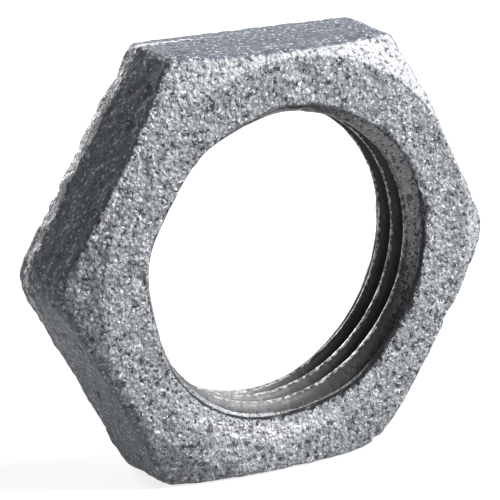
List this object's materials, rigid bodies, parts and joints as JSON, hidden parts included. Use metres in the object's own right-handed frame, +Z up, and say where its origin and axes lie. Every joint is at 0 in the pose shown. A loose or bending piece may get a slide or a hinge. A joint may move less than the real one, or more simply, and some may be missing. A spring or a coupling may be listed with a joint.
{
  "type": "lock nut",
  "caption": "Flat hexagonal lock nut for pipe, a galvanised iron casting with a conical front chamfer and a tapped right-hand parallel pipe thread.",
  "frame": {"origin": "on the thread's axis, midway between the front and back faces", "axes": "+Z up with the nut standing on one of its flats, Y along the thread's axis, -Y out of the chamfered front face, X through two corners"},
  "size_m": [0.05, 0.0096, 0.044],
  "materials": {
    "galvanised_iron": "rough malleable iron casting, hot-dip galvanised, spangled blue-grey zinc with pits and small lumps"
  },
  "bodies": {
    "root": {"lock_nut": "galvanised_iron"}
  },
  "joints": []
}
